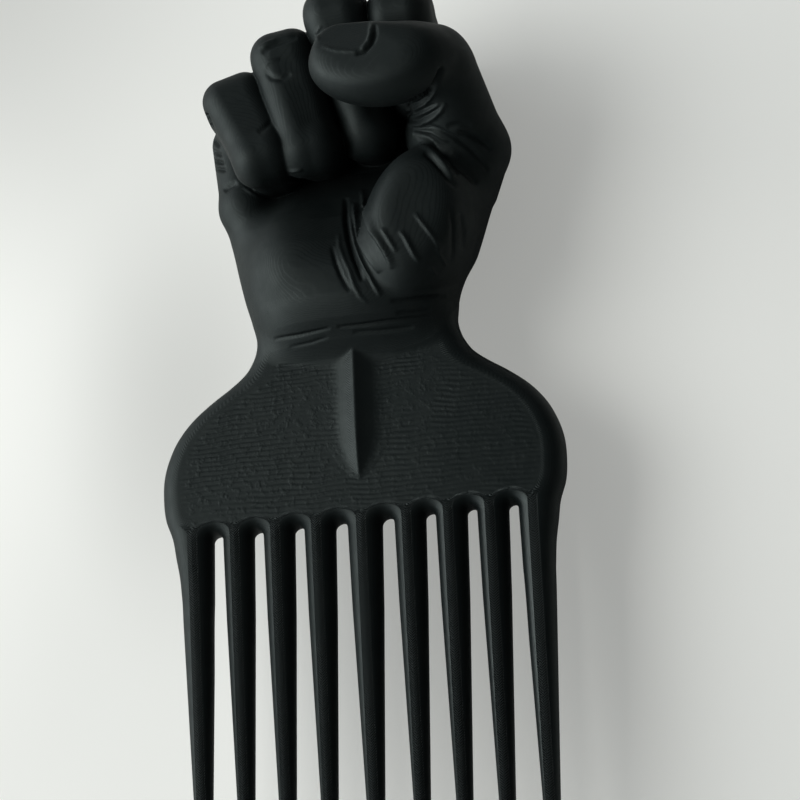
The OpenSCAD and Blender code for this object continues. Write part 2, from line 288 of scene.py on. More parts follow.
# how blunt its nose is, how hollow its faces are, and how far they sink in at their feet, as a
# share of its height
RIB_BLUNTNESS = 0.8
RIB_HOLLOW = 1.5
RIB_SINK = 0.1
# scale of its field, and the half widths beyond which the field only grows
RIB_SCALE = 0.85
RIB_REACH = 1.15


def rib(p):
    x, y, z = p
    behind = np.maximum(0, RIB_NOSE + RIB_RAMP - y) / RIB_RAMP
    fade = np.clip(1 - behind ** 2, 0, 1) ** RIB_BLUNTNESS + 1e-3
    u = np.abs(x - RIB_X) / (RIB_HALF * fade)
    profile = np.sign(1 - u) * np.abs(1 - u) ** RIB_HOLLOW - RIB_SINK
    crest = EDGE_RADIUS + RIB_RISE * fade * profile
    f = np.maximum((z - crest) * RIB_SCALE, y - RIB_TOP)
    f = np.maximum(np.maximum(f, -z), RIB_NOSE - y)
    return np.where(u < RIB_REACH, f, np.maximum(f, (u - RIB_REACH) * RIB_HALF * fade))


# The hand.

# height, left, right, back, front and squareness of the sections of wrist and palm, which share
# two of them
SECTIONS = [
    (30.5, -24.0, 24.0, -2.5, 2.5, 2.0), (33, -21.8, 21.8, -4.2, 4.4, 2.0),
    (36, -20.6, 20.6, -7.4, 7.6, 2.0), (39.5, -19.8, 19.8, -10.3, 10.4, 2.0),
    (44, -19.9, 20.0, -12.0, 11.9, 2.05), (50, -21.1, 21.4, -13.6, 11.4, 2.1),
    (56, -23.4, 23.4, -15.0, 9.9, 2.2), (62, -25.8, 25.7, -16.1, 7.4, 2.3),
    (68, -28.0, 28.4, -16.8, 3.6, 2.4), (74, -29.4, 30.0, -17.2, 0.0, 2.5),
    (82, -30.0, 29.0, -17.2, -1.6, 2.5), (90, -29.2, 26.0, -16.6, -2.4, 2.4),
    (93, -27.4, 24.0, -15.4, -4.0, 2.3),
]
WRIST_ROWS = SECTIONS[:6]
PALM_ROWS = SECTIONS[4:]
# centre and half size of the four knuckles on the back of the hand
KNUCKLES = [
    ((-23.5, 88.0, -11.0), 5.6), ((-11.5, 93.5, -11.5), 6.2),
    ((1.5, 98.0, -11.8), 6.6), ((15.0, 96.5, -11.0), 6.6),
]
# joints from the knuckle to the tip, with the half depth, the half width and the roll at each
FINGERS = {
    "little_finger": [
        ((-22.6, 86.0, -9.0), 5.2, 5.9, 0), ((-21.2, 88.6, 9.5), 5.6, 6.5, 4),
        ((-15.5, 74.8, 12.5), 5.3, 5.9, 12), ((-15.2, 75.4, 1.0), 4.8, 4.8, 12),
    ],
    "ring_finger": [
        ((-11.8, 92.0, -10.0), 5.4, 5.6, 0), ((-10.6, 96.5, 11.0), 5.6, 6.5, 4),
        ((-5.8, 75.9, 11.3), 5.3, 6.4, 24), ((-5.2, 77.0, 4.0), 4.8, 5.6, 24),
    ],
    "middle_finger": [
        ((1.3, 97.0, -10.5), 5.6, 5.8, 0), ((1.2, 103.4, 13.0), 5.9, 6.3, 4),
        ((5.4, 79.5, 6.6), 5.4, 5.4, 40), ((5.0, 80.5, -1.0), 4.8, 5.0, 40),
    ],
    "index_finger": [
        ((14.4, 96.0, -9.5), 5.6, 5.8, 0), ((14.1, 103.0, 11.0), 5.9, 6.4, 0),
        ((15.6, 88.0, 5.0), 5.4, 5.7, 20), ((15.0, 87.0, -3.0), 4.8, 5.0, 20),
    ],
}
# how far the sideways direction across each finger leans upwards, and the rounding of its long
# edges
FINGER_SHAPES = {
    "little_finger": (0.26, 4.2), "ring_finger": (0.1, 4.6),
    "middle_finger": (0.0, 4.4), "index_finger": (0.0, 4.4),
}
# the folded flesh inside a finger: share of its first bone where it starts, how much slimmer
# than the bone it is, and how much thinner it ends
FLESH_START = 0.55
FLESH_INSET = 0.7
FLESH_THINNER = 1
# rounding of the ends of the wrist and the palm
WRIST_CAP = 3.0
PALM_CAP = 5.0
# eggs, each with its centre, its half size and its turn
HEEL = ((-11.5, 52.0, 0.0), (10.6, 13.5, 12.0), (4, 0, 10))
MOUND = ((14.6, 58.3, 3.9), (11.6, 17.6, 15.2), (6, 4, -17))
WEB = ((21.2, 79.0, 2.5), (9.0, 8.0, 8.8))
THUMB_PULP = ((11.8, 87.4, 22.8), (14.2, 8.6, 8.2), (0, 0, -6))
THUMB_JOINT = ((20.3, 89.6, 19.6), (7.4, 5.8, 7.6), (0, 0, -20))
# a knuckle's half height and half depth, as shares of its half width
KNUCKLE_TALL = 1.1
KNUCKLE_DEEP = 0.95
# chains, each joint with its place and its radius
OUTER_EDGE = (((-15.5, 52, 0.0), 6.0), ((-22.4, 69, 0.5), 5.2), ((-24.4, 84, -1.5), 5.2))
THUMB_BONES = (((17.5, 58, -3.0), 7.5), ((25.4, 75.2, 2.0), 7.8), ((22.6, 87.0, 14.5), 7.6))
# the thumb's last bone: its ends, its radii, its widening and the direction across it
THUMB_END = ((22.6, 89.0, 17.0), (4.2, 90.6, 22.6), (6.4, 5.7), (0.8, 0.6), (0, 1, -0.3))
# planes that flatten the mound, the thumb's pulp and the nail: a point and the way out
MOUND_PLANE = ((13.0, 61.0, 16.8), (0.14, -0.04, 0.99))
PULP_PLANE = ((10.0, 88.0, 28.6), (-0.06, 0.10, 0.99))
NAIL_PLANE = ((6.0, 91.0, 27.6), (-0.06, 0.38, 0.92))
# beyond these places at its root and along its lower side the nail sinks, with these slopes
NAIL_ROOT_X = 11.0
NAIL_ROOT_SLOPE = 1.4
NAIL_SIDE_Y = 88.8
NAIL_SIDE_SLOPE = 0.6
# how softly the forms inside a part run into each other
SOFT = {
    "heel": 7.0, "edge_bones": 2.0, "outer_edge": 3.0, "knuckle_row": 2.0, "knuckles": 3.0,
    "web": 2.0, "mound_top": 2.0, "thumb_bones": 2.0, "pulp": 2.0, "thumb_joint": 3.0,
    "pulp_top": 1.6, "nail": 0.4, "thumb_end": 1.8, "finger_bones": 1.2, "flesh": 1.0,
}


def wrist(p):
    return column(p, WRIST_ROWS, WRIST_CAP)


def palm(p):
    d = smooth_min(column(p, PALM_ROWS, PALM_CAP), egg(p, *HEEL), SOFT["heel"])
    d = smooth_min(d, chain(p, OUTER_EDGE, SOFT["edge_bones"]), SOFT["outer_edge"])
    row = joined(
        (egg(p, centre, (half, half * KNUCKLE_TALL, half * KNUCKLE_DEEP)) for centre, half in KNUCKLES),
        SOFT["knuckle_row"]
    )
    return smooth_min(d, row, SOFT["knuckles"])


def above(p, plane):
    """How far a point lies above a plane."""
    middle, way = plane
    return dot([p[i] - middle[i] for i in range(3)], way)


def thenar(p):
    return smooth_max(egg(p, *MOUND), above(p, MOUND_PLANE), SOFT["mound_top"])


def thumb(p):
    root = chain(p, THUMB_BONES, SOFT["thumb_bones"])
    end = smooth_min(limb(p, *THUMB_END), egg(p, *THUMB_PULP), SOFT["pulp"])
    end = smooth_min(end, egg(p, *THUMB_JOINT), SOFT["thumb_joint"])
    end = smooth_max(end, above(p, PULP_PLANE), SOFT["pulp_top"])
    nail = above(p, NAIL_PLANE) - NAIL_ROOT_SLOPE * np.maximum(p[0] - NAIL_ROOT_X, 0)
    nail = nail - NAIL_SIDE_SLOPE * np.maximum(NAIL_SIDE_Y - p[1], 0)
    end = smooth_max(end, nail, SOFT["nail"])
    return smooth_min(root, end, SOFT["thumb_end"])


def finger(p, joints, lean, edge):
    """Three bones from the knuckle to the tip, and the flesh folded between the first two."""
    sides = [
        (math.cos(math.radians(roll)), lean, -math.sin(math.radians(roll)))
        for _, _, _, roll in joints
    ]
    bones = (
        bar(p, a, b, (ra, rb), (wa, wb), edge, sides[i:i + 2])
        for i, ((a, ra, wa, _), (b, rb, wb, _)) in enumerate(zip(joints, joints[1:]))
    )
    d = joined(bones, SOFT["finger_bones"])
    (a, _, _, _), (b, deep, wide, _), (c, deep_c, wide_c, _) = joints[:3]
    start = [a[i] + (b[i] - a[i]) * FLESH_START for i in range(3)]
    radii = (deep, deep_c - FLESH_THINNER)
    widths = (wide - FLESH_INSET, wide_c - FLESH_INSET)
    return smooth_min(d, bar(p, start, c, radii, widths, edge, sides[1:3]), SOFT["flesh"])


def forms(p):
    """The field of each named form."""
    found = {
        "blade": plate(p), "rib": rib(p), "wrist": wrist(p), "palm": palm(p),
        "thenar": thenar(p), "thumb": thumb(p),
    }
    found["palm"] = smooth_min(found["palm"], egg(p, *WEB), SOFT["web"])
    for name, joints in FINGERS.items():
        found[name] = finger(p, joints, *FINGER_SHAPES[name])
    return found


# how softly each form runs into those before it
BODY_JOINS = (("wrist", 3.0), ("thenar", 1.6), ("blade", 2.2), ("rib", 0.4), ("thumb", 2.6))
FINGER_JOIN = 0.5
FIST_JOIN = 0.6


def whole(p):
    """The field of the whole sculpt."""
    found = forms(p)
    body = found["palm"]
    for name, k in BODY_JOINS:
        body = smooth_min(body, found[name], k)
    fist = joined((found[name] for name in FINGERS), FINGER_JOIN)
    return smooth_min(body, fist, FIST_JOIN)


# Meshing.

GRID_STEP = 0.3
GRID_LOW = (-43.0, -7.0, -20.0)
GRID_HIGH = (43.0, 112.0, 33.0)
# cells along a block's side, and points worked out in one go
BLOCK = 4
CHUNK = 300000
# a block is sampled where its middle is nearer to the surface than this many blocks and
# millimetres, and holds the far value elsewhere
NEAR_BLOCKS = 1.6
NEAR_MARGIN = 0.8
FAR = 9.0
# step of the gradient, and the least slope and longest move when points are pressed
GRADIENT_STEP = 0.03
LEAST_SLOPE = 0.3
LONGEST_MOVE = 0.5
# share of the way to its neighbours' middle that a point moves
RELAXING = 0.6


def in_chunks(points, field):
    out = np.empty(len(points), np.float32)
    for start in range(0, len(points), CHUNK):
        out[start:start + CHUNK] = field(list(points[start:start + CHUNK].T))
    return out


def sampled(field):
    """The field on a grid, worked out only in the blocks near its zero level."""
    blocks = [int(math.ceil((b - a) / GRID_STEP / BLOCK)) for a, b in zip(GRID_LOW, GRID_HIGH)]
    axes = [
        (GRID_LOW[i] + GRID_STEP * np.arange(blocks[i] * BLOCK + 1)).astype(np.float32)
        for i in range(3)
    ]
    centres = [
        (GRID_LOW[i] + GRID_STEP * BLOCK * (np.arange(blocks[i]) + 0.5)).astype(np.float32)
        for i in range(3)
    ]
    mesh = np.meshgrid(*centres, indexing="ij")
    coarse = in_chunks(np.stack([m.ravel() for m in mesh], 1), field).reshape(mesh[0].shape)
    near = np.abs(coarse) < GRID_STEP * BLOCK * NEAR_BLOCKS + NEAR_MARGIN
    signs = np.where(coarse > 0, FAR, -FAR).astype(np.float32)
    for axis in range(3):
        signs = np.repeat(signs, BLOCK, axis)
    values = np.pad(signs, ((0, 1), (0, 1), (0, 1)), mode="edge")
    wanted = np.zeros(values.shape, bool)
    for i, j, k in np.argwhere(near) * BLOCK:
        wanted[i:i + BLOCK + 1, j:j + BLOCK + 1, k:k + BLOCK + 1] = True
    index = np.argwhere(wanted)
    points = np.stack([axes[i][index[:, i]] for i in range(3)], 1)
    values[wanted] = in_chunks(points, field)
    return values, axes


def surface_net(values, axes):
    """One vertex in each cell that the surface crosses, one quad for each crossed grid edge."""
    inside = values < 0
    cells_shape = tuple(n - 1 for n in values.shape)
    corners = [(i, j, k) for i in (0, 1) for j in (0, 1) for k in (0, 1)]
    count = np.zeros(cells_shape, np.int8)
    for i, j, k in corners:
        count += inside[i:i + cells_shape[0], j:j + cells_shape[1], k:k + cells_shape[2]]
    active = (count > 0) & (count < 8)
    cells = np.argwhere(active)
    number = np.full(cells_shape, -1, np.int64)
    number[active] = np.arange(len(cells))
    value = {c: values[cells[:, 0] + c[0], cells[:, 1] + c[1], cells[:, 2] + c[2]] for c in corners}
    total = np.zeros((len(cells), 3), np.float32)
    crossings = np.zeros(len(cells), np.float32)
    for c in corners:
        for axis in range(3):
            if c[axis]:
                continue
            other = tuple(1 if i == axis else c[i] for i in range(3))
            crossed = (value[c] < 0) != (value[other] < 0)
            gap = np.where(crossed, value[c] - value[other], 1)
            place = np.tile(np.array(c, np.float32), (len(cells), 1))
            place[:, axis] += np.where(crossed, value[c] / gap, 0)
            total += np.where(crossed[:, None], place, 0)
            crossings += crossed
    start = np.array([a[0] for a in axes], np.float32)
    points = start + GRID_STEP * (cells + total / crossings[:, None])
    quads = []
    for axis, b, c in ((0, 1, 2), (1, 2, 0), (2, 0, 1)):
        lower = [slice(None)] * 3
        upper = [slice(None)] * 3
        lower[axis] = slice(0, -1)
        upper[axis] = slice(1, None)
        edges = np.argwhere(inside[tuple(lower)] != inside[tuple(upper)])
        kept = (edges[:, b] > 0) & (edges[:, c] > 0)
        kept &= (edges[:, b] < cells_shape[b]) & (edges[:, c] < cells_shape[c])
        edges = edges[kept]
        outward = inside[edges[:, 0], edges[:, 1], edges[:, 2]]
        ring = []
        for step_b, step_c in ((1, 1), (0, 1), (0, 0), (1, 0)):
            cell = edges.copy()
            cell[:, b] -= step_b
            cell[:, c] -= step_c
            ring.append(number[cell[:, 0], cell[:, 1], cell[:, 2]])
        quad = np.stack(ring, 1)
        quad[~outward] = quad[~outward][:, ::-1]
        quads.append(quad)
    return points.astype(np.float32), np.concatenate(quads)


def gradient(points, field):
    """The direction in which the field grows, and how fast it does."""
    total = np.zeros_like(points)
    for way in ((1, -1, -1), (-1, -1, 1), (-1, 1, -1), (1, 1, 1)):
        way = np.array(way, np.float32)
        total += way * in_chunks(points + way * GRADIENT_STEP, field)[:, None]
    length = np.linalg.norm(total, axis=1, keepdims=True) + 1e-9
    return total / length, length[:, 0] / (4 * GRADIENT_STEP)


def pressed(points, field):
    """Points moved onto the field's zero level."""
    normal, slope = gradient(points, field)
    move = in_chunks(points, field) / np.maximum(slope, LEAST_SLOPE)
    return points - normal * np.clip(move, -LONGEST_MOVE, LONGEST_MOVE)[:, None]


def relaxed(points, quads):
    """Points moved towards the middle of their neighbours."""
    total = np.zeros_like(points)
    count = np.zeros(len(points), np.float32)
    for i in range(4):
        for j in (1, 3):
            np.add.at(total, quads[:, i], points[quads[:, (i + j) % 4]])
            np.add.at(count, quads[:, i], 1)
    return points * (1 - RELAXING) + RELAXING * total / np.maximum(count, 1)[:, None]


def vertex_normals(points, quads):
    corner = points[quads]
    face = np.cross(corner[:, 2] - corner[:, 0], corner[:, 3] - corner[:, 1])
    total = np.zeros_like(points)
    for i in range(4):
        np.add.at(total, quads[:, i], face)
    return total / (np.linalg.norm(total, axis=1, keepdims=True) + 1e-9)


# Folds. Each is drawn on the surface as the camera sees it: its points are pixels of the frame,
# then come its half widths on the left and on the right and its height, in millimetres.
# A groove has a height below zero.

FOLDS = {
    "thumb_joint": (
        [(442, 67), (438, 78), (433, 88), (426, 95), (418, 99), (408, 103)], 0.4, 0.5, -1.7
    ),
    "web_ridge_1": ([(406, 111), (416, 109), (425, 104), (432, 96), (437, 88)], 0.35, 0.35, 0.45),
    "web_ridge_2": ([(405, 117), (416, 116), (426, 112), (434, 108), (440, 104)], 0.25, 0.25, 0.3),
    "web_ridge_3": (
        [(407, 125), (420, 125), (429, 121), (435, 117), (441, 111), (446, 103)], 0.5, 0.4, 0.5
    ),
    "web_ridge_4": ([(412, 130), (424, 131), (432, 132), (440, 137), (448, 142)], 0.25, 0.3, 0.35),
    "web_groove_1": ([(406, 114), (416, 113), (426, 108), (436, 103)], 0.2, 0.2, -0.3),
    "web_groove_2": ([(407, 121), (418, 120), (428, 115), (438, 109)], 0.25, 0.25, -0.4),
    "web_groove_3": ([(413, 128), (424, 128), (433, 129)], 0.2, 0.2, -0.35),
    "mound_top_groove": (
        [(413, 133), (427, 138), (437, 145), (448, 153), (456, 163), (466, 172), (477, 184)],
        0.55, 0.6, -0.9
    ),
    "mound_top_ridge": (
        [(419, 144), (428, 149), (435, 155), (442, 163), (448, 170), (454, 178)], 0.5, 0.4, 0.7
    ),
    "mound_side_groove": ([(424, 153), (433, 160), (441, 169), (448, 178), (456, 187)], 0.5, 0.5, -0.6),
    "web_long_1": (
        [(424, 124), (440, 130), (455, 138), (470, 149), (482, 162), (488, 172)], 0.45, 0.4, -0.7
    ),
    "web_long_2": ([(430, 142), (442, 150), (452, 161), (459, 174)], 0.4, 0.4, -0.6),
    "thumb_side_groove": ([(458, 133), (468, 134), (478, 139), (486, 144), (491, 150)], 0.6, 0.5, -0.8),
    "thumb_side_dent": ([(447, 127), (460, 124), (472, 125)], 0.6, 0.6, -0.4),
    "outer_groove": ([(461, 213), (464, 230), (464, 250)], 0.5, 0.4, -0.45),
    "outer_groove_faint": ([(450, 205), (453, 225), (453, 250), (451, 262)], 0.5, 0.4, -0.35),
    "mound_edge": (
        [(361, 190), (363, 205), (366, 218), (371, 232), (377, 240), (383, 250), (388, 260), (391, 269)],
        0.25, 0.9, 0.75
    ),
    "mound_step_1": (
        [(353, 203), (354, 216), (357, 229), (361, 242), (366, 252), (371, 261), (379, 273)],
        0.22, 0.8, 0.95
    ),
    "mound_step_2": (
        [(350, 216), (351, 231), (355, 247), (360, 260), (366, 271), (373, 285), (380, 296)],
        0.22, 0.6, 0.65
    ),
    "mound_step_3": (
        [(338, 234), (339, 247), (343, 258), (349, 271), (354, 286), (360, 297), (367, 303)],
        0.3, 0.45, 0.3
    ),
    "valley_groove_1": (
        [(346, 198), (346, 220), (349, 240), (353, 255), (358, 268), (363, 281)], 0.4, 0.4, -1.1
    ),
    "valley_groove_2": ([(332, 246), (336, 262), (341, 275), (347, 286), (351, 291)], 0.4, 0.4, -0.5),
    "small_crease_1": ([(414, 213), (421, 222), (428, 231), (434, 239), (441, 252)], 0.25, 0.5, 0.35),
    "small_crease_2": ([(399, 231), (405, 239), (409, 247), (414, 256), (419, 262)], 0.25, 0.6, 0.5),
    "small_crease_3": ([(381, 228), (386, 236), (391, 244), (396, 252)], 0.3, 0.5, 0.4),
    "small_crease_4": ([(436, 248), (441, 258), (446, 266)], 0.25, 0.4, 0.3),
    "small_crease_5": ([(429, 266), (436, 275)], 0.25, 0.4, 0.3),
    "wrist_line_1": ([(391, 301), (405, 300), (425, 298), (446, 296)], 0.35, 0.4, -0.55),
    "wrist_line_2": ([(396, 313), (415, 312), (432, 309)], 0.35, 0.4, -0.45),
    "wrist_line_3": ([(337, 327), (360, 325), (395, 320), (432, 316)], 0.3, 0.3, -0.55),
    "wrist_line_4": ([(353, 332), (380, 331), (414, 327)], 0.35, 0.4, -0.4),
    "wrist_line_5": ([(274, 339), (300, 335), (330, 328)], 0.3, 0.3, -0.4),
    "wrist_line_6": ([(290, 347), (310, 343), (328, 337)], 0.3, 0.3, -0.25),
    "nail_root_ridge": ([(370, 26), (370, 34), (367, 42), (361, 49)], 0.25, 0.3, 0.35),
    "nail_root_groove": ([(375, 24), (375, 34), (372, 43), (365, 51), (356, 54)], 0.3, 0.35, -0.75),
    "nail_side_lip": ([(322, 46), (334, 50), (347, 51), (358, 51)], 0.3, 0.3, 0.22),
    "nail_end_lip": ([(321, 26), (317, 33), (318, 41)], 0.3, 0.3, 0.25),
    "ring_knuckle_groove": ([(262, 53), (269, 47), (278, 43), (287, 40), (297, 37)], 0.5, 0.5, -0.55),
    "ring_knuckle_lip": ([(258, 48), (266, 43), (276, 39)], 0.3, 0.3, 0.2),
    "ring_fold_groove": ([(265, 72), (272, 78), (282, 79), (291, 74)], 0.5, 0.5, -0.4),
    "ring_fold_lip": ([(264, 67), (269, 62), (279, 59)], 0.3, 0.3, 0.25),
    "ring_end_1": ([(288, 171), (295, 171), (302, 170)], 0.3, 0.3, 0.35),
    "ring_end_2": ([(288, 181), (295, 182), (302, 181)], 0.3, 0.3, 0.3),
    "little_joint": ([(272, 121), (265, 127), (258, 132)], 0.4, 0.6, -0.35),
    "little_tip_lip": ([(243, 187), (251, 193), (259, 197)], 0.25, 0.25, 0.3),
    "outer_wrinkle_1": ([(206, 141), (214, 141), (220, 147)], 0.35, 0.35, -0.8),
    "outer_wrinkle_2": ([(211, 150), (222, 156)], 0.35, 0.35, -0.75),
    "outer_wrinkle_3": ([(211, 161), (224, 163)], 0.4, 0.4, -1.0),
    "outer_wrinkle_4": ([(213, 168), (226, 170)], 0.4, 0.4, -0.9),
    "outer_wrinkle_5": ([(224, 191), (230, 186), (237, 183)], 0.5, 0.5, -0.6),
    "outer_slot": ([(205, 113), (209, 125), (215, 138)], 0.45, 0.45, -1.5),
}
# how far behind the nearest surface a fold still reaches, how many of its half widths it has a
# height, and the pixels outside the frame that count too
FOLD_REACH = 1.5
FOLD_WIDTHS = 3
FOLD_MARGIN = 100


def folded(points, normals):
    """Points moved out or in along the drawn folds, where the camera sees them."""
    u, v, nearness = seen_at(points)
    size = FRAME_PIXELS + 2 * FOLD_MARGIN
    column_number = np.clip((u + FOLD_MARGIN).astype(int), 0, size - 1)
    row_number = np.clip((v + FOLD_MARGIN).astype(int), 0, size - 1)
    front = np.full((size, size), -1e9)
    np.maximum.at(front, (row_number, column_number), nearness)
    for axis in (0, 1):
        front = np.maximum(front, np.maximum(np.roll(front, 1, axis), np.roll(front, -1, axis)))
    seen = nearness > front[row_number, column_number] - FOLD_REACH
    rise = np.zeros(len(points))
    for line, half_left, half_right, height in FOLDS.values():
        line = np.array(line, float)
        reach = max(half_left, half_right) * PIXELS_PER_MM * FOLD_WIDTHS
        box = (u > line[:, 0].min() - reach) & (u < line[:, 0].max() + reach)
        box &= (v > line[:, 1].min() - reach) & (v < line[:, 1].max() + reach) & seen
        chosen = np.flatnonzero(box)
        best = np.full(len(chosen), 1e9)
        half = np.ones(len(chosen))
        taper = np.zeros(len(chosen))
        steps = np.linalg.norm(np.diff(line, axis=0), axis=1)
        starts = np.concatenate([[0], np.cumsum(steps)])
        for i, step in enumerate(steps):
            way = (line[i + 1] - line[i]) / step
            du = u[chosen] - line[i, 0]
            dv = v[chosen] - line[i, 1]
            t = np.clip(du * way[0] + dv * way[1], 0, step)
            away = np.hypot(du - t * way[0], dv - t * way[1]) / PIXELS_PER_MM
            nearer = away < best
            share = (starts[i] + t) / starts[-1]
            best = np.where(nearer, away, best)
            on_left = (du * way[1] - dv * way[0]) * np.sign(way[1] + 1e-6) < 0
            half = np.where(nearer, np.where(on_left, half_left, half_right), half)
            taper = np.where(nearer, np.sqrt(np.clip(4 * share * (1 - share), 0, 1)), taper)
        rise[chosen] += height * np.exp(-(best / half) ** 2) * taper
    return points + normals * rise[:, None]


# Pieces.


def to_row(points):
    """Points of the sculpt in the row frame, in metres."""
    moved = points.astype(float).copy()
    moved[:, 1] += GAP_TOP_Y
    moved[:, 2] += BLADE_MIDDLE_Z
    return moved * MM


# how far in from the outline the crest's strokes run, and the height above the gap tops from
# which they turn to a tooth's own middle line
CREST_DEPTH = 3.55
CREST_BLEND = 2.0
# middle line of the strokes on the rib
RIB_STRIP_X = -0.8
# rings down a tooth, faces along each of their arcs, and the tip's height and rings
TOOTH_RINGS = 130
ARC_FACES = 12
TIP_HEIGHT = 1.2
TIP_RINGS = 8


def linked(name, data):
    """A new object in the scene."""
    thing = bpy.data.objects.new(name, data)
    bpy.context.scene.collection.objects.link(thing)
    return thing


def make_piece(name, points, normals, faces, nodes, axis=None):
    """A mesh object with smooth normals and the comb's coordinates, standing for CAD nodes.
    With an axis, its strokes follow that line instead of the outline."""
    mesh = bpy.data.meshes.new(name)
    mesh.from_pydata(to_row(points).tolist(), [], faces)
    mesh.polygons.foreach_set("use_smooth", [True] * len(mesh.polygons))
    mesh.normals_split_custom_set_from_vertices(normals.tolist())
    depth, run = comb_depth(points[:, 0], points[:, 1])
    beside = np.abs(depth - CREST_DEPTH)
    if axis is not None:
        straight = np.clip(-(points[:, 1] - CREST_BLEND) / CREST_BLEND, 0, 1)
        if nodes == ["rib"]:
            straight = np.ones(len(points))
        beside = beside + (np.abs(points[:, 0] - axis) - beside) * straight
        run = run + (points[:, 1] - run) * straight
    for label, values in (("edge_depth", depth), ("edge_run", run), ("crest_side", beside)):
        attribute = mesh.attributes.new(label, "FLOAT", "POINT")
        attribute.data.foreach_set("value", values.astype(np.float32))
    piece = linked(name, mesh)
    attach(piece, "root")
    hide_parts(*nodes)
    return piece


def cut_out(points, normals, quads, chosen):
    """The part of the mesh whose faces are chosen, renumbered."""
    part = quads[chosen]
    used, faces = np.unique(part, return_inverse=True)
    return points[used], normals[used], faces.reshape(part.shape).tolist()


def tooth_loft(axis, k):
    """Rings down a tooth; each is two arcs that meet in a crest, front and back."""
    down = np.linspace(0, 1, TOOTH_RINGS)
    y = LOFT_TOP + LOFT_OVERLAP - (TOOTH_LENGTH + LOFT_TOP + LOFT_OVERLAP) * down
    rounding = 1 - np.sin(np.linspace(0, math.pi / 2, TIP_RINGS))
    y = np.sort(np.concatenate([y[:-1], -TOOTH_LENGTH + TIP_HEIGHT * rounding]))[::-1]
    points = []
    for height in y:
        left = max(height + TOOTH_LENGTH, 0.0)
        cap = math.sqrt(max(1 - (1 - min(left / TIP_HEIGHT, 1)) ** 2, 1e-4))
        half = tooth_half(k, height)
        flare = 0.0
        if k == len(TOOTH_AXES) - 1 and height > FLARE_END:
            flare = float(half_width_at(np.array([height]))[0]) - abs(axis) - half
        middle = axis + math.copysign(flare / 2, axis)
        half = (half + flare / 2) * cap
        r = edge_radius_at(height) * cap
        limit = math.acos(max(min((r - half) / r, 1), -1))
        angles = np.linspace(-limit, limit, ARC_FACES + 1)
        right = [(middle + half - r + r * math.cos(a), height, r * math.sin(a)) for a in angles]
        mirror = [(2 * middle - x, yy, -z) for x, yy, z in right]
        points += right[:-1] + mirror[:-1]
    ring = 2 * ARC_FACES
    faces = []
    for row in range(len(y) - 1):
        upper, lower = row * ring, (row + 1) * ring
        for i in range(ring):
            j = (i + 1) % ring
            faces.append((upper + i, upper + j, lower + j, lower + i))
    faces.append(tuple((len(y) - 1) * ring + i for i in range(ring)))
    return np.array(points), faces


values, axes = sampled(whole)
points, quads = surface_net(values, axes)
points = pressed(points, whole)
points = pressed(relaxed(points, quads), whole)
normals = vertex_normals(points, quads)

found = forms(list(points.T))
names = list(found)
label = np.argmin(np.stack([found[n] for n in names]), 0)
points = folded(points, normals)
normals = vertex_normals(points, quads)

face_label = label[quads[:, 0]]
centre = points[quads].mean(1)
pieces = []
in_tooth = (centre[:, 1] < TOOTH_TOP) & (face_label == names.index("blade"))
tooth_axes = np.concatenate([-TOOTH_AXES[:0:-1], TOOTH_AXES])
nearest = np.argmin(np.abs(centre[:, 0][:, None] - tooth_axes[None, :]), 1)
for i, name in enumerate(names):
    chosen = (face_label == i) & ~in_tooth
    part = cut_out(points, normals, quads, chosen)
    strip_axis = RIB_STRIP_X if name == "rib" else None
    pieces.append(make_piece(name + "_print", *part, [name], strip_axis))
for i, axis in enumerate(tooth_axes):
    chosen = in_tooth & (nearest == i)
    root_points, root_normals, root_faces = cut_out(points, normals, quads, chosen)
    loft_points, loft_faces = tooth_loft(axis, abs(i - len(tooth_axes) // 2))
    shift = len(root_points)
    all_points = np.concatenate([root_points, loft_points])
    # the loft's last face closes its end and gives no normals
    loft_normals = vertex_normals(loft_points, np.array(loft_faces[:-1]))
    all_normals = np.concatenate([root_normals, loft_normals])
    all_faces = root_faces + [tuple(n + shift for n in face) for face in loft_faces]
    name = "tooth_%d" % (i + 1)
    pieces.append(make_piece(name + "_print", all_points, all_normals, all_faces, [name], axis))


# The material.

# scale, detail and roughness of each noise
NOISES = {
    "tone": (120.0, 4.0, 0.6), "gloss": (300.0, 2.0, 0.5), "layer": (110.0, 3.0, 0.55),
    "grain": (900.0, 3.0, 0.5), "bend": (42.0, 3.0, 0.55), "patches": (95.0, 2.0, 0.5),
    "lumps": (620.0, 2.0, 0.6), "ragged": (240.0, 2.0, 0.5), "floor": (9.0, 3.0, 0.5),
}
# the middle part of a noise's values, which is spread over the whole range
NOISE_SPREAD = (0.3, 0.7)
# the plastic's darkest and palest tone, its roughness and its reflections
DARK = (0.0045, 0.0066, 0.0068, 1)
PALE = (0.0068, 0.0090, 0.0090, 1)
ROUGHNESS = (0.5, 0.57)
SPECULAR = 0.26
SPECULAR_TINT = (0.86, 1.0, 0.97, 1)
# in metres, as all heights and places below: a printed layer's height and how far its edge
# wanders, and the share of the layer at which it stands out most
LAYER = 0.0002
LAYER_CREST = 0.28
COMB_WANDER = 0.00002
HAND_WANDER = 0.0005
# between these heights the comb's layer steps fade out to this share
STEPS_END = (0.0076, 0.0080)
STEPS_LEFT = 0.1
# distance and strength of each bump
LAYER_BUMP = (0.00005, 0.35)
GRAIN_BUMP = (0.00008, 0.3)
STROKE_BUMP = (0.0002, 1.0)
SKIN_BUMP = (0.0001, 0.75)
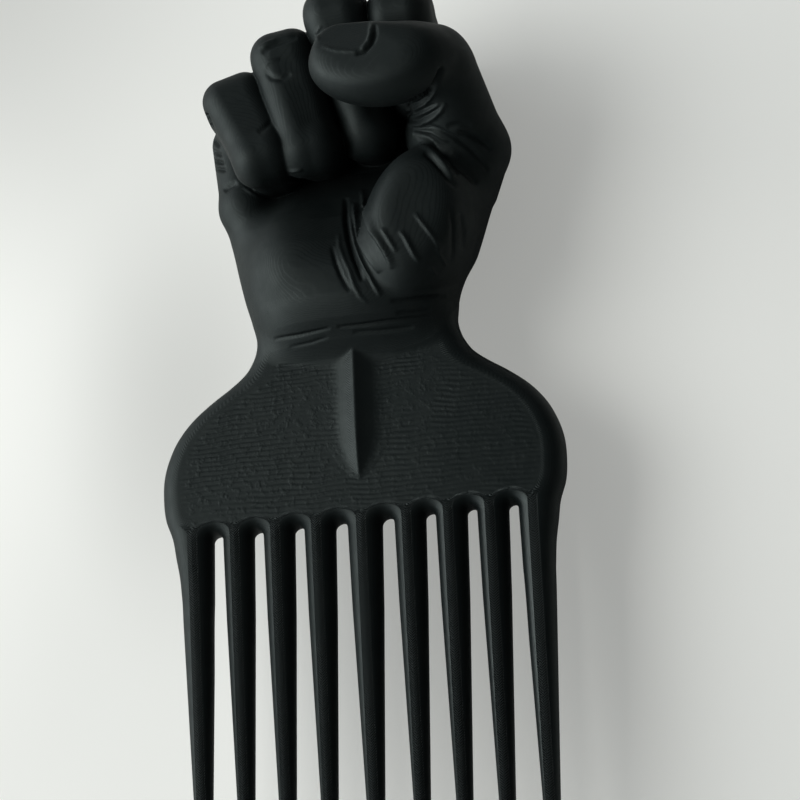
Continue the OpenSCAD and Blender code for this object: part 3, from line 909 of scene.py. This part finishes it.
# crest strokes: where they end beside their line and how far apart they are, in millimetres,
# the heights over which they set in, the places over which they fade above the teeth, and the
# share that is left there
STROKE_SIDES = (0.75, 1.05)
STROKE_PERIOD = 0.52
STROKE_FRONT = (0.0048, 0.0056)
STROKE_UPPER = (-0.0195, -0.0165)
STROKE_LEFT = 0.06
# how much paler a stroke is, as painted highlight, how much rougher it is, and at most how much darker
# the notch beside it is, as painted shade
STROKE_PAINTED_HIGHLIGHT = 3.5
NOTCH_PAINTED_SHADE = -1.6
STROKE_ROUGHER = 0.2
# top skin: distance and bending of its rows, the noise over which they set in, their faintest
ROW_PERIOD = 0.00105
ROW_BEND = 0.0045
ROW_PATCHES = (0.34, 0.56)
ROW_FAINTEST = 0.1
LUMPS = (0.45, 0.75)
LUMP_RANGE = (-0.25, 0.75)
ROW_SHARE = 0.65
LUMP_SHARE = 0.8
# its ragged border in millimetres from the outline, and the heights between which it lies
SKIN_BORDER = (2.2, 4.6)
SKIN_RAGGED = 3.2
SKIN_LOWER = (0.0070, 0.0077)
SKIN_UPPER = (0.00805, 0.0083)
# towards the right, skin and roughness go down to these shares
SKIN_SIDE = (-0.02, 0.03)
SKIN_SIDE_LEFT = 0.4
SMOOTH_SIDE = (-0.01, 0.03)
SMOOTH_SIDE_LEFT = 0.66


def add(tree, kind, **settings):
    node = tree.nodes.new(kind)
    for key, value in settings.items():
        setattr(node, key, value)
    return node


def put(tree, socket, value):
    """Sets an input, from another node's output or from a number."""
    if isinstance(value, bpy.types.NodeSocket):
        tree.links.new(value, socket)
    else:
        socket.default_value = value


def fill(tree, node, values):
    """Sets a node's inputs by their names or numbers."""
    for label, value in values.items():
        put(tree, node.inputs[label], value)
    return node.outputs


def calc(tree, operation, *inputs):
    node = add(tree, "ShaderNodeMath", operation=operation)
    return fill(tree, node, dict(enumerate(inputs)))[0]


def vector(tree, operation, *inputs):
    """The vector and the value that a vector node works out."""
    node = add(tree, "ShaderNodeVectorMath", operation=operation)
    return fill(tree, node, dict(enumerate(inputs)))


def product(tree, *factors):
    total = factors[0]
    for factor in factors[1:]:
        total = calc(tree, "MULTIPLY", total, factor)
    return total


def noise(tree, place, kind):
    scale, detail, roughness = NOISES[kind]
    values = {"Vector": place, "Scale": scale, "Detail": detail, "Roughness": roughness}
    return fill(tree, add(tree, "ShaderNodeTexNoise"), values)["Fac"]


def ramp(tree, value, low, high, to_low=0.0, to_high=1.0):
    """A value that goes softly from to_low to to_high while another goes from low to high."""
    node = add(tree, "ShaderNodeMapRange", interpolation_type="SMOOTHSTEP")
    put(tree, node.inputs["Value"], value)
    ends = {"From Min": low, "From Max": high, "To Min": to_low, "To Max": to_high}
    return fill(tree, node, ends)["Result"]


def mixed(tree, share, first, second, clamped):
    """A colour between two others."""
    node = add(tree, "ShaderNodeMix", data_type="RGBA", clamp_factor=clamped)
    return fill(tree, node, {"Factor": share, "A": first, "B": second})["Result"]


def bump(tree, height, distance, strength, normal=None):
    values = {"Strength": strength, "Distance": distance, "Height": height}
    if normal is not None:
        values["Normal"] = normal
    return fill(tree, add(tree, "ShaderNodeBump"), values)["Normal"]


def stored(tree, label):
    """One of the comb's coordinates that make_piece stores in the meshes."""
    return add(tree, "ShaderNodeAttribute", attribute_name=label).outputs["Fac"]


def layer_steps(tree, z, place, wander):
    """The edges of the printed layers: a sharp rise on each one, then a slow fall."""
    spread = product(tree, noise(tree, place, "layer"), wander)
    turns = product(tree, calc(tree, "ADD", z, spread), 1 / LAYER)
    share = calc(tree, "FRACT", turns)
    fall = product(tree, calc(tree, "SUBTRACT", 1.0, share), 1 / (1 - LAYER_CREST))
    rise = product(tree, share, 1 / LAYER_CREST)
    return calc(tree, "MINIMUM", fall, rise)


def crest_strokes(tree, y, z):
    """Short strokes that meet in a V along the crests, on the front alone and weaker above
    the teeth."""
    beside = stored(tree, "crest_side")
    strip = product(tree, ramp(tree, beside, *STROKE_SIDES, 1.0, 0.0), ramp(tree, z, *STROKE_FRONT))
    strip = product(tree, strip, ramp(tree, y, *STROKE_UPPER, 1.0, STROKE_LEFT))
    along_stroke = calc(tree, "SUBTRACT", stored(tree, "edge_run"), beside)
    phase = product(tree, along_stroke, 2 * math.pi / STROKE_PERIOD)
    return product(tree, calc(tree, "SINE", phase), strip)


def top_skin(tree, place, x, y, z):
    """Rows of fused strokes across the blade's flat face, with small lumps between them."""
    bend = product(tree, noise(tree, place, "bend"), ROW_BEND)
    phase = product(tree, calc(tree, "ADD", y, bend), 2 * math.pi / ROW_PERIOD)
    patches = ramp(tree, noise(tree, place, "patches"), *ROW_PATCHES, ROW_FAINTEST, 1.0)
    rows = product(tree, calc(tree, "SINE", phase), patches)
    lumps = ramp(tree, noise(tree, place, "lumps"), *LUMPS, *LUMP_RANGE)
    skin = calc(tree, "ADD", product(tree, rows, ROW_SHARE), product(tree, lumps, LUMP_SHARE))
    ragged = product(tree, noise(tree, place, "ragged"), SKIN_RAGGED)
    depth = calc(tree, "SUBTRACT", stored(tree, "edge_depth"), ragged)
    flat = ramp(tree, depth, *SKIN_BORDER)
    front = product(tree, ramp(tree, z, *SKIN_LOWER), ramp(tree, z, *SKIN_UPPER, 1.0, 0.0))
    side = ramp(tree, x, *SKIN_SIDE, 1.0, SKIN_SIDE_LEFT)
    return product(tree, skin, flat, front, side)


def new_material(name):
    """A material, its nodes and its shader."""
    material = bpy.data.materials.new(name)
    material.use_nodes = True
    tree = material.node_tree
    return material, tree, tree.nodes["Principled BSDF"]


def print_material(name, comb):
    """Black printed plastic: layer steps everywhere, top skin and crest strokes on the comb, with
    painted highlight and painted shade along the strokes.
    """
    material, tree, shader = new_material(name)
    place = add(tree, "ShaderNodeTexCoord").outputs["Object"]
    split = add(tree, "ShaderNodeSeparateXYZ")
    put(tree, split.inputs[0], place)
    x, y, z = split.outputs

    tone = ramp(tree, noise(tree, place, "tone"), *NOISE_SPREAD)
    gloss = ramp(tree, noise(tree, place, "gloss"), *NOISE_SPREAD, *ROUGHNESS)
    steps = layer_steps(tree, z, place, COMB_WANDER if comb else HAND_WANDER)
    if comb:
        steps = product(tree, steps, ramp(tree, z, *STEPS_END, 1.0, STEPS_LEFT))
    normal = bump(tree, steps, *LAYER_BUMP)
    normal = bump(tree, noise(tree, place, "grain"), *GRAIN_BUMP, normal)
    if comb:
        strokes = crest_strokes(tree, y, z)
        normal = bump(tree, strokes, *STROKE_BUMP, normal)
        # painted highlight on each stroke and painted shade in the notch beside it, added to the
        # colour's tone
        stroke_light_and_shade = calc(tree, "MAXIMUM", product(tree, strokes, STROKE_PAINTED_HIGHLIGHT), NOTCH_PAINTED_SHADE)
        tone = calc(tree, "ADD", tone, stroke_light_and_shade)
        gloss = product(tree, gloss, ramp(tree, x, *SMOOTH_SIDE, 1.0, SMOOTH_SIDE_LEFT))
        gloss = calc(tree, "ADD", gloss, product(tree, strokes, STROKE_ROUGHER))
        normal = bump(tree, top_skin(tree, place, x, y, z), *SKIN_BUMP, normal)
    colour = mixed(tree, tone, DARK, PALE, False)
    fill(tree, shader, {
        "Base Color": colour, "Roughness": gloss, "Normal": normal,
        "Specular IOR Level": SPECULAR, "Specular Tint": SPECULAR_TINT,
    })
    return material


comb_material = print_material("black_print_comb", True)
hand_material = print_material("black_print_hand", False)
for piece in pieces:
    on_comb = piece.name.startswith(("blade", "tooth", "rib"))
    piece.data.materials.append(comb_material if on_comb else hand_material)


# Stage, camera and light.

SENSOR = 36.0
NEAREST = 0.01
FARTHEST = 20.0
# the floor's half size, how far it lies under the part, its tones, and how much paler the camera
# sees it than it lights the part
FLOOR_HALF = 3.0
FLOOR_DROP = 0.0005
FLOOR_DARK = (0.65, 0.66, 0.635, 1)
FLOOR_PALE = (0.67, 0.68, 0.655, 1)
FLOOR_ROUGHNESS = 0.8
FLOOR_SPECULAR = 0.25
FLOOR_LIFT = 0.31
FLOOR_GLOW = (1.0, 1.01, 0.97, 1)
# painted shade and painted light on the floor, as darker and paler patches: where they lie in the frame
# and their half size, both in pixels, and the change of tone in their middle
FLOOR_PAINTED_LIGHT_AND_SHADE = {
    "painted_shade_high_corner": ((-60, -60), (480, 500), -0.3),
    "painted_shade_near_blade": ((190, 400), (170, 330), -0.2),
    # painted shade, darker on the left
    "left": ((40, 520), (360, 600), -0.06),
    "painted_light_pool": ((-40, 430), (210, 420), 0.13),
    # painted light on the right, which also pales the part's shadow there
    "right": ((720, 330), (220, 560), 0.07),
}
# the room's light, its gain towards the window, how fast that fades, and what the camera sees
WORLD_BASE = 0.082
WORLD_SIDE = 3.6
WORLD_FALL = 3.0
WORLD_COLOUR = (0.94, 0.98, 1.0, 1)
WORLD_SEEN = 0.8
WINDOW_PLACE = (-0.41, 0.02, 0.37)
WINDOW_SIZE = (0.40, 0.50)
WINDOW_POWER = 1.95
WINDOW_COLOUR = (1.0, 0.99, 0.96)


def shift_to_row(place):
    return Vector((place[0] * MM, (place[1] + GAP_TOP_Y) * MM, (place[2] + BLADE_MIDDLE_Z) * MM))


def make_camera():
    data = bpy.data.cameras.new("camera")
    data.sensor_width = SENSOR
    data.lens = data.sensor_width * PIXELS_PER_MM * CAMERA_DISTANCE / FRAME_PIXELS
    data.clip_start = NEAREST
    data.clip_end = FARTHEST
    camera = linked("camera", data)
    away = CAMERA_ROWS.T @ np.array([0, 0, CAMERA_DISTANCE])
    turn = Matrix(CAMERA_ROWS.T.tolist()).to_4x4()
    camera.matrix_world = Matrix.Translation(shift_to_row(np.array(CAMERA_AIM) + away)) @ turn
    bpy.context.scene.camera = camera


def on_floor(pixel, height):
    """The floor's point that the camera sees at a pixel, in the row frame."""
    middle = FRAME_PIXELS / 2
    right, up, away = CAMERA_ROWS
    start = np.array(CAMERA_AIM) + away * CAMERA_DISTANCE
    sight = (pixel[0] - middle) * right - (pixel[1] - middle) * up
    sight = sight / PIXELS_PER_MM - away * CAMERA_DISTANCE
    start = np.array(shift_to_row(start))
    return start + sight * (height - start[2]) / sight[2]


def painted_floor_light(tree, place, height):
    """The floor's painted shade and painted light: soft ellipses, some darker and some paler."""
    painted_patches = []
    for centre, half, change in FLOOR_PAINTED_LIGHT_AND_SHADE.values():
        middle = on_floor(centre, height)
        offset = vector(tree, "SUBTRACT", place, (middle[0], middle[1], height))[0]
        wide, tall = (pixels / PIXELS_PER_MM * MM for pixels in half)
        share = vector(tree, "DIVIDE", offset, (wide, tall, 1.0))[0]
        away = vector(tree, "LENGTH", share)["Value"]
        painted_patches.append(ramp(tree, away, 0.0, 1.0, 1.0 + change, 1.0))
    return product(tree, *painted_patches)


def make_floor(height):
    mesh = bpy.data.meshes.new("floor")
    corners = [
        (x * FLOOR_HALF, y * FLOOR_HALF, height) for x, y in ((-1, -1), (1, -1), (1, 1), (-1, 1))
    ]
    mesh.from_pydata(corners, [], [(0, 1, 2, 3)])
    floor = linked("floor", mesh)
    material, tree, shader = new_material("floor")
    place = add(tree, "ShaderNodeTexCoord").outputs["Object"]
    share = ramp(tree, noise(tree, place, "floor"), *NOISE_SPREAD)
    colour = mixed(tree, share, FLOOR_DARK, FLOOR_PALE, True)
    # painted shade and painted light, scaling both the floor's colour and the glow the camera sees
    tone = painted_floor_light(tree, place, height)
    scaling = add(tree, "ShaderNodeVectorMath", operation="SCALE")
    toned = fill(tree, scaling, {0: colour, "Scale": tone})[0]
    seen = add(tree, "ShaderNodeLightPath").outputs["Is Camera Ray"]
    fill(tree, shader, {
        "Base Color": toned, "Roughness": FLOOR_ROUGHNESS, "Specular IOR Level": FLOOR_SPECULAR,
        "Emission Strength": product(tree, seen, FLOOR_LIFT, tone), "Emission Color": FLOOR_GLOW,
    })
    mesh.materials.append(material)


def make_window():
    """The one lamp, a wide pane low on the left."""
    data = bpy.data.lights.new("window", "AREA")
    data.shape = "RECTANGLE"
    data.size, data.size_y = WINDOW_SIZE
    data.energy = WINDOW_POWER
    data.color = WINDOW_COLOUR
    lamp = linked("window", data)
    lamp.location = WINDOW_PLACE
    lamp.rotation_euler = (-Vector(WINDOW_PLACE)).to_track_quat("-Z", "Y").to_euler()


def make_world():
    """A dim room that is brighter towards the window's side. The camera sees it as one tone."""
    world = bpy.data.worlds.new("world")
    bpy.context.scene.world = world
    world.use_nodes = True
    tree = world.node_tree
    background = tree.nodes["Background"]
    background.inputs["Color"].default_value = WORLD_COLOUR
    split = add(tree, "ShaderNodeSeparateXYZ")
    put(tree, split.inputs[0], add(tree, "ShaderNodeTexCoord").outputs["Generated"])
    towards_window = calc(tree, "MAXIMUM", product(tree, split.outputs["X"], -1.0), 0.0)
    gain = product(tree, calc(tree, "POWER", towards_window, WORLD_FALL), WORLD_SIDE)
    strength = calc(tree, "ADD", gain, WORLD_BASE)
    seen = add(tree, "ShaderNodeLightPath").outputs["Is Camera Ray"]
    strength = product(tree, strength, calc(tree, "SUBTRACT", 1.0, seen))
    strength = calc(tree, "ADD", strength, product(tree, seen, WORLD_SEEN))
    put(tree, background.inputs["Strength"], strength)


make_camera()
make_floor(cad_low.z - FLOOR_DROP)
make_world()
make_window()
bpy.context.scene.view_settings.view_transform = "Standard"
